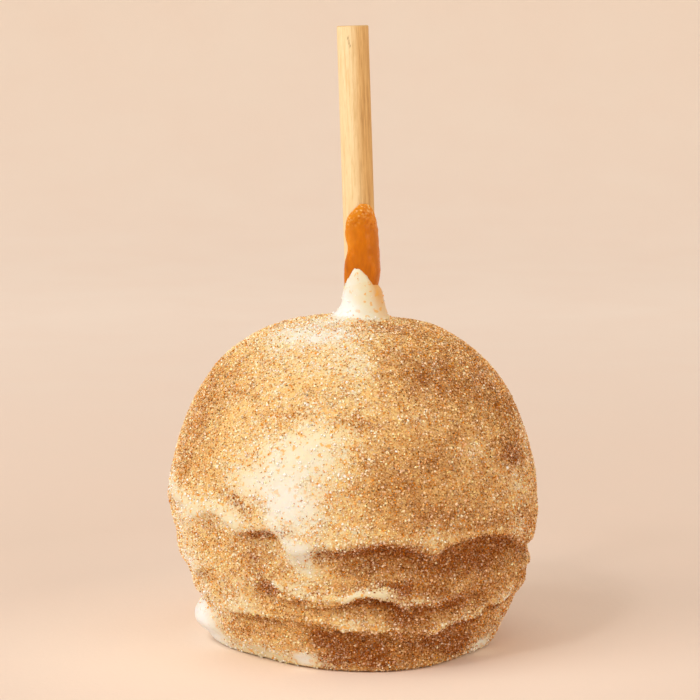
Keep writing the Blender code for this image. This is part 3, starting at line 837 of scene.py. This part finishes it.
def random_turns(count, rng):
    """A random rotation matrix for each grain, from a random quaternion."""
    w, x, y, z = (q := rng.normal(size=(4, count))) / np.linalg.norm(q, axis=0)
    none = np.zeros(count)
    cross = np.stack([none, -z, y, z, none, -x, -y, x, none], -1).reshape(count, 3, 3)
    return np.eye(3) + 2 * w[:, None, None] * cross + 2 * cross @ cross


# %% [markdown]
# ## One mesh for each kind
# The grains lie on the coat's faces, more where the mask has more sugar. Arrays make it fast: the
# small shape is copied, stretched, turned and moved for all grains at once. Each grain has a colour
# of its own, stored on its points.

# %% Joining grains into one mesh
def lay_out_faces(mesh, count, each, sides):
    """A texture map with one small square cell for each grain, split among its faces."""
    across = math.ceil(math.sqrt(count))
    columns = math.ceil(math.sqrt(each))
    grain = np.repeat(np.arange(count), each)
    face = np.tile(np.arange(each), count)
    corner = np.stack([(grain % across) + (face % columns) / columns,
                       (grain // across) + (face // columns) / columns], -1)
    shape = np.array([(0.1, 0.1), (0.9, 0.1), (0.9, 0.9), (0.1, 0.9)])[:sides] / columns
    layout = mesh.uv_layers.new(name="OFBake")
    places = (corner[:, None] + shape[None]) / across
    layout.data.foreach_set("uv", places.reshape(-1))


coat_mesh.calc_loop_triangles()
coat_triangles = read_rows(coat_mesh.loop_triangles, "vertices", 3, np.int32)
coat_areas = read_rows(coat_mesh.loop_triangles, "area", 1)[:, 0]
coat_points = read_points(coat_mesh)
outside = (coat_points[:, 2] > 0.35 * MM) & ~(near & (above > -1.0))
smooth_drips = np.maximum(0.85 * on_collar, ramp(height, 9, 7) * ramp(whiteness_and_light, 0.3, 0.7))
catching = outside * (1 - smooth_drips)

CLEAR_SUGAR, CLEAR_ON_WHITE = np.array((1.0, 0.9, 0.74)), np.array((1.0, 0.95, 0.88))
SHADE_SPREAD = 0.25


def grain_tints(pale_end, brown, bareness, paleness, shade, rng):
    """A colour for each grain, from its kind's pale end to CINNAMON_DUST. Paleness is (usual, bare)."""
    share = np.clip(rng.normal(0.05 + 0.8 * brown, 0.16), 0, 1)[:, None]
    colour = np.array(pale_end) * (1 - share) + np.array(CINNAMON_DUST) * share
    pale = np.clip(rng.normal(paleness[0] + (paleness[1] - paleness[0]) * bareness, 0.12), 0, 1)[:, None]
    clear = CLEAR_SUGAR + (CLEAR_ON_WHITE - CLEAR_SUGAR) * bareness[:, None]
    colour = colour * (1 - pale) + clear * pale
    shades = rng.normal(shade, SHADE_SPREAD, len(brown)) + 0.3 * bareness
    return np.clip(colour * shades[:, None], 0.01, 1)


def scatter(name, shape, count, density, sizes, lift, pale_end, paleness, shade, seed):
    """Grains on the coat. sizes is (least, most) in mm, and lift is in sizes."""
    rng = np.random.default_rng(seed)
    weight = coat_areas * (density * catching)[coat_triangles].mean(1)
    chosen = np.searchsorted(np.cumsum(weight), rng.random(count) * weight.sum())
    corners = coat_triangles[chosen]
    shares = rng.dirichlet((1, 1, 1), count)
    centre = (coat_points[corners] * shares[:, :, None]).sum(1)
    normal = (coat_normals[corners] * shares[:, :, None]).sum(1)
    size = sizes[0] + (sizes[1] - sizes[0]) * rng.random(count) ** 1.6
    stretch = size[:, None] * rng.uniform(0.7, 1.15, (count, 3)) * MM
    base, faces = shape
    grains = base[None] * stretch[:, None] * rng.uniform(0.85, 1.15, (count, len(base), 1))
    grains = np.einsum("nij,nkj->nki", random_turns(count, rng), grains)
    grains += (centre + normal * (lift * size * MM)[:, None])[:, None]
    grains[:, :, 2] = np.maximum(grains[:, :, 2], 0.02 * MM)
    all_faces = faces[None] + len(base) * np.arange(count)[:, None, None]
    mesh = bpy.data.meshes.new(name)
    mesh.from_pydata(grains.reshape(-1, 3).tolist(), [], all_faces.reshape(-1, faces.shape[1]).tolist())
    lay_out_faces(mesh, count, len(faces), faces.shape[1])
    brown, cover = ((mask[corners] * shares).sum(1) for mask in (cinnamon, sugar))
    colour = grain_tints(pale_end, brown, 1 - cover, paleness, shade, rng)
    rgba = np.repeat(np.hstack([colour, np.ones((count, 1))]), len(base), axis=0)
    mesh.color_attributes.new("tint", "FLOAT_COLOR", "POINT").data.foreach_set("color", rgba.ravel())
    print(name, count, "grains,", count * len(faces) * (faces.shape[1] - 2), "triangles")
    return mesh


# %% [markdown]
# ## The crystals' finish
# One finish serves all kinds: it takes the grain's own colour, and the clear kinds get a gloss.

# %% Crystal material
def make_crystal_finish(name, roughness, gloss):
    finish, tree, shader = new_material(name)
    tint = place(tree, "Attribute", {"attribute_name": "tint"}).outputs["Color"]
    clouded = blotches(tree, 0.25, 1.0, contrast=1.2)
    colour = mix_colour(tree, clouded, tint, (0.92, 0.88, 0.84), "MULTIPLY")
    rough = sum_of(tree, "MULTIPLY_ADD", clouded, 0.2, roughness)
    dress(tree, shader, colour, rough, clouded, strength=0.15, depth=0.03,
          Specular_IOR_Level=0.03 + gloss, Coat_Weight=gloss, Coat_Roughness=0.08)
    return finish


# %% [markdown]
# ## Scatter every kind
# Clear sugar glints, golden and brown sugar carry the colour, and the finest grains fill the gaps.

# %% Scatter every kind
# densities and tints follow the sugar and cinnamon masks, which also hold painted shade, so brown grains
# also gather where shade is painted
KINDS = (
    # name, shape, count, density, sizes in mm, lift, pale end, paleness, shade, roughness, gloss
    ("clear_sugar", BLOCK, 15500, (0.25 + sugar) * (1.1 - 0.4 * cinnamon), (0.23, 0.42), 0.22,
     SUGAR_DUST, (0.22, 0.9), 1.18, 0.1, 0.3),
    ("golden_sugar", CHIP, 24000, 0.06 + sugar, (0.28, 0.5), 0.26,
     SUGAR_DUST, (0.0, 0.3), 1.22, 0.18, 0.05),
    ("brown_sugar", CHIP, 24000, (0.05 + sugar) * (0.3 + cinnamon), (0.28, 0.5), 0.26,
     AMBER, (0.0, 0.0), 1.03, 0.3, 0.0),
    ("fine_sugar", SPLINTER, 48000, 0.08 + sugar, (0.22, 0.42), 0.22,
     SUGAR_DUST, (0.04, 0.8), 1.05, 0.3, 0.0),
    ("cinnamon_specks", SPLINTER, 48000, (0.02 + sugar) * (0.35 + cinnamon), (0.16, 0.32), 0.3,
     AMBER, (0.0, 0.0), 0.6, 0.5, 0.0),
)
for seed, (name, *kind, rough, gloss) in enumerate(KINDS):
    grains = scatter(name, *kind, seed + 20)
    new_piece(grains, "coated_apple", make_crystal_finish(name, rough, gloss), stands_in=False)

# %% [markdown]
# ## The caramel
# Above the white collar the first dip still shows: a smear of caramel with a bead along its edge.
# It takes the plain solid's shape on a finer grid. Its foot is drawn down and thinned, so that it
# goes in under the collar, and a few bubbles stand in its top.

# %% Caramel shape
caramel_mesh = fine_copy("caramel", "caramel_smear", 0.14 * MM, 2)
INNER_RADIUS, FOOT_RADIUS = 3.45, 3.55  # mm: the smear's inner face, and its drawn-in foot
# azimuth round the stick, height in mm, radius in mm
BUBBLES = ((14, 91.2, 0.3), (30, 90.6, 0.36), (46, 91.0, 0.26), (24, 89.4, 0.24), (40, 88.9, 0.3),
           (56, 89.6, 0.24), (2, 90.0, 0.22), (-12, 89.0, 0.26), (50, 87.4, 0.22))


def shape_caramel(mesh):
    points = spread(read_points(mesh), read_edges(mesh), 10)
    azimuth, height, reach, middle_x, middle_y = round_the_stick(points)
    azimuth = azimuth - 15 * ramp(azimuth, 15, -28) * ramp(height, 94, 89.5)  # wider on the left
    outer = ramp(reach, 3.5, 3.8)
    foot = ramp(height - round_table(COLLAR_EDGE, azimuth), 3.0, 0.1)
    swelling = outer * (0.1 * cloud(points, 3.0 * MM, 31, 2) + 0.03 * cloud(points, 0.9 * MM, 32))
    swelling += outer * 0.1 * ramp(height, 87, 90) * cloud(points, 0.5 * MM, 33)
    for middle, level, radius in BUBBLES:
        away = np.hypot(np.radians(azimuth - middle) * reach, height - level) / radius
        swelling += outer * 0.5 * radius * np.sqrt(np.clip(1 - away * away, 0, 1))
    full = reach + swelling
    drawn_in = full + foot * (np.minimum(full, FOOT_RADIUS) - full)
    radius = np.where(reach > INNER_RADIUS, drawn_in, full)
    points[:, 0] = middle_x + np.sin(np.radians(azimuth)) * radius * MM
    points[:, 1] = middle_y - np.cos(np.radians(azimuth)) * radius * MM
    points[:, 2] -= 1.6 * MM * foot + 2.4 * MM * ramp(azimuth, 25, 85) * ramp(height, 86, 92)
    write_points(mesh, points)
    mesh.shade_smooth()
    keep_values(mesh, "thin", ramp(full, 4.15, 3.6))
    # pale golden froth at the top, kept off the shaded right side: partly froth, partly painted glints
    froth_and_glints = ramp(cloud(points, 0.45 * MM, 34, 2), 0.15, 0.5) * ramp(azimuth, 70, 30)
    keep_values(mesh, "froth_and_glints", froth_and_glints * ramp(height, 87, 90.5) * ramp(radius, 4.05, 3.75))


shape_caramel(caramel_mesh)
print("caramel:", len(BUBBLES), "bubbles")

# %% [markdown]
# ## The caramel's finish
# Caramel is clear amber: thick it is deep orange, and thin it is golden over the pale wood. A clear
# coat gives it a wet gloss, and light that wanders inside it makes it glow.

# %% Caramel finish
def make_caramel_finish():
    finish, tree, shader = new_material("glossy_caramel")
    streaks = blotches(tree, 1.6, 3.0, stretch=3.0, contrast=2.2)
    amber = mix_colour(tree, streaks, (0.47, 0.122, 0.0003), (0.66, 0.19, 0.0006))
    golden = mix_colour(tree, painted_value(tree, "thin"), amber, (0.78, 0.3, 0.015))
    # pale where the top froths, which also paints its glints
    golden = mix_colour(tree, painted_value(tree, "froth_and_glints"), golden, (0.95, 0.66, 0.27))
    rough = sum_of(tree, "MULTIPLY_ADD", streaks, 0.15, 0.16)
    ripples = blotches(tree, 0.7, 2.0)
    dress(tree, shader, golden, rough, ripples, strength=0.3, depth=0.08,
          Subsurface_Weight=0.08, Subsurface_Radius=(1.0, 0.35, 0.05), Subsurface_Scale=0.8 * MM,
          Specular_IOR_Level=0.15, Coat_Weight=0.12, Coat_Roughness=0.04)
    return finish


new_piece(caramel_mesh, "caramel", make_caramel_finish())

# %% [markdown]
# ## The stick
# The stick is a turned birch rod. A fine grid of points, closer near the tip, lets it carry shallow
# grooves along its grain, a short crack, and a cut end that is a little frayed.

# %% Stick shape
STICK_SIDES = 96
CLOSE_RINGS = 16  # mm below the tip, where the rings of points get closer
CRACK_AZIMUTH, CRACK_MIDDLE, CRACK_HALF, CRACK_WIDTH = -15, 3.4, 1.2, 0.1  # degrees, then mm


def make_stick_mesh():
    axis = STICK_TIP - STICK_FOOT
    length = axis.length / MM
    along = np.concatenate([np.linspace(0, length - CLOSE_RINGS, 120), [length - 0.1, length],
                            np.linspace(length - CLOSE_RINGS + 0.2, length - 0.25, 70)])
    along.sort()
    inset = np.zeros(len(along))
    inset[[0, -1]], inset[-2] = 0.25, 0.09
    turns = np.arange(STICK_SIDES) / STICK_SIDES * 2 * math.pi
    azimuth, run = (grid.ravel() for grid in np.meshgrid(turns, along))
    radius = STICK_RADIUS / MM - np.repeat(inset, STICK_SIDES)
    outwards = np.stack([np.sin(azimuth), -np.cos(azimuth)], -1)
    rod = np.hstack([outwards * radius[:, None], run[:, None]])
    grain = rod * (1, 1, 1 / 26)
    grooves = cloud(grain, 0.42, 41, 2)
    wander = 0.16 * np.sin(run * 1.7) + 0.05 * np.sin(run * 6.1)
    turn = np.radians(np.degrees(azimuth) - CRACK_AZIMUTH + 180) % (2 * math.pi) - math.pi
    from_crack = np.abs(length - run - CRACK_MIDDLE)
    crack = np.exp(-((turn * radius - wander) / CRACK_WIDTH) ** 2)
    crack *= ramp(from_crack, CRACK_HALF + 0.3, CRACK_HALF - 0.3)
    radius -= 0.02 * grooves + 0.1 * crack
    rod[:, :2] = outwards * np.minimum(radius, STICK_RADIUS / MM)[:, None]
    top = len(along) - 1
    frayed = 0.06 * cloud(rod, 0.8, 42, 2)[-STICK_SIDES:]
    rod[-STICK_SIDES:, 2] -= np.abs(frayed)
    rod = np.vstack([rod, (0, 0, 0), (0, 0, length - 0.03)])
    ring = np.arange(STICK_SIDES)
    after = np.roll(ring, -1)
    start = np.arange(top)[:, None] * STICK_SIDES
    over = start + STICK_SIDES
    sides = np.stack([start + ring, start + after, over + after, over + ring], -1).reshape(-1, 4)
    foot_cap = np.stack([after, ring, np.full(STICK_SIDES, len(rod) - 2)], -1)
    tip_cap = np.stack([top * STICK_SIDES + ring, top * STICK_SIDES + after,
                        np.full(STICK_SIDES, len(rod) - 1)], -1)
    turned = np.array(stick_turn())
    placed = rod * MM @ turned.T + np.array(STICK_FOOT)
    mesh = bpy.data.meshes.new("birch_stick")
    faces = sides.tolist() + foot_cap.tolist() + tip_cap.tolist()
    mesh.from_pydata(placed.tolist(), [], faces)
    mesh.shade_smooth()
    place_in_grain = mesh.attributes.new("along_grain", "FLOAT_VECTOR", "POINT")
    place_in_grain.data.foreach_set("vector", (rod * (1, 1, 1 / 22)).ravel().astype(np.float32))
    keep_values(mesh, "crack", np.concatenate([crack, (0, 0)]))
    # amber and darker on the stick's right side
    amber_right_side = ramp(np.sin(azimuth - 0.2) + 0.06 * cloud(grain, 1.5, 43), -0.55, 0.35)
    keep_values(mesh, "amber_right_side", np.concatenate([amber_right_side, (0.5, 0.5)]))
    cut = ramp(run, length - 0.3, length - 0.1)
    keep_values(mesh, "end_grain", np.concatenate([cut, (0, 1)]))
    return mesh


stick_mesh = make_stick_mesh()
print("stick:", len(stick_mesh.vertices), "points")

# %% [markdown]
# ## The birch finish
# The grain's pattern follows the rod, not the room, so it is drawn in the rod's own coordinates,
# squeezed along its length. Streaks and fibres are two sizes of the same noise.

# %% Birch finish
def make_birch_finish():
    finish, tree, shader = new_material("bare_birch")
    grain = place(tree, "Attribute", {"attribute_name": "along_grain"}).outputs["Vector"]
    streaks = place(tree, "TexNoise", Vector=grain, Scale=2.4, Detail=5.0, Roughness=0.65).outputs["Fac"]
    fibres = place(tree, "TexNoise", Vector=grain, Scale=9.0, Detail=3.0).outputs["Fac"]
    pale = colour_stops(tree, streaks, ((0.25, (0.72, 0.51, 0.22)), (0.45, (0.84, 0.66, 0.37)),
                                        (0.75, (0.9, 0.77, 0.5))))
    amber = colour_stops(tree, streaks, ((0.25, (0.44, 0.23, 0.07)), (0.48, (0.64, 0.37, 0.12)),
                                         (0.75, (0.8, 0.54, 0.22))))
    wood = mix_colour(tree, painted_value(tree, "amber_right_side"), pale, amber)
    fine = colour_stops(tree, fibres, ((0.3, (0.8, 0.7, 0.55)), (0.5, (1, 1, 1))))
    wood = mix_colour(tree, 0.7, wood, fine, "MULTIPLY")
    wood = mix_colour(tree, painted_value(tree, "end_grain"), wood, (0.62, 0.4, 0.17))
    # painted shade: the crack is painted dark brown for the shade inside it
    wood = mix_colour(tree, painted_value(tree, "crack"), wood, (0.25, 0.14, 0.05))
    rough = sum_of(tree, "MULTIPLY_ADD", fibres, 0.2, 0.45)
    dress(tree, shader, wood, rough, fibres, strength=0.4, depth=0.06)
    return finish


new_piece(stick_mesh, "stick", make_birch_finish())
